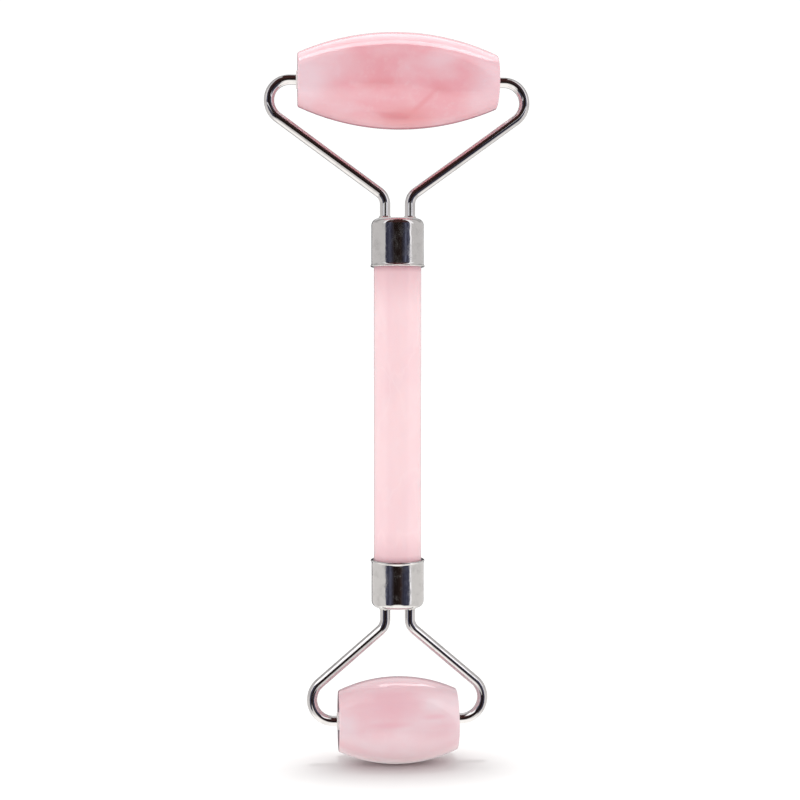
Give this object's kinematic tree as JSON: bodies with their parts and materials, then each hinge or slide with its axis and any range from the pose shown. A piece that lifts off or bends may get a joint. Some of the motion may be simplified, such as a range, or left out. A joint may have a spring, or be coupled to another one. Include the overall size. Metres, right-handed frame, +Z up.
{
  "type": "face roller",
  "caption": "Hand-held face roller: a slim stone handle with a chromed cap and wire fork at each end, each fork carrying a free-spinning barrel-shaped stone.",
  "frame": {"origin": "on the standing surface, under the middle of the small roller, with the handle upright", "axes": "+Z up along the handle towards the large roller, X along both roller axles, forks in the XZ plane"},
  "size_m": [0.0542, 0.0194, 0.1497],
  "materials": {
    "handle_stone": "polished pale pink rose quartz",
    "large_roller_stone": "polished mottled pink rose quartz",
    "small_roller_stone": "polished banded pale pink rose quartz",
    "cap_plating": "bright chrome plate",
    "wire_plating": "bright chrome plate on drawn wire",
    "bush_nylon": "natural white nylon",
    "glue": "cured clear epoxy"
  },
  "bodies": {
    "frame": {"handle_rod": "handle_stone", "large_cap": "cap_plating", "large_cap_glue": "glue", "large_fork_wire": "wire_plating", "large_left_braze": "wire_plating", "large_right_braze": "wire_plating", "small_cap": "cap_plating", "small_cap_glue": "glue", "small_fork_wire": "wire_plating", "small_left_braze": "wire_plating", "small_right_braze": "wire_plating"},
    "large_roller": {"large_roller_stone": "large_roller_stone", "large_left_bush": "bush_nylon", "large_right_bush": "bush_nylon"},
    "small_roller": {"small_roller_stone": "small_roller_stone", "small_left_bush": "bush_nylon", "small_right_bush": "bush_nylon"}
  },
  "joints": [
    {"name": "large_roller_spin", "type": "hinge", "parent": "frame", "child": "large_roller", "pos_m": [0, 0, 0.14005], "axis": [1, 0, 0], "continuous": true},
    {"name": "small_roller_spin", "type": "hinge", "parent": "frame", "child": "small_roller", "pos_m": [0, 0, 0.00885], "axis": [1, 0, 0], "continuous": true}
  ]
}
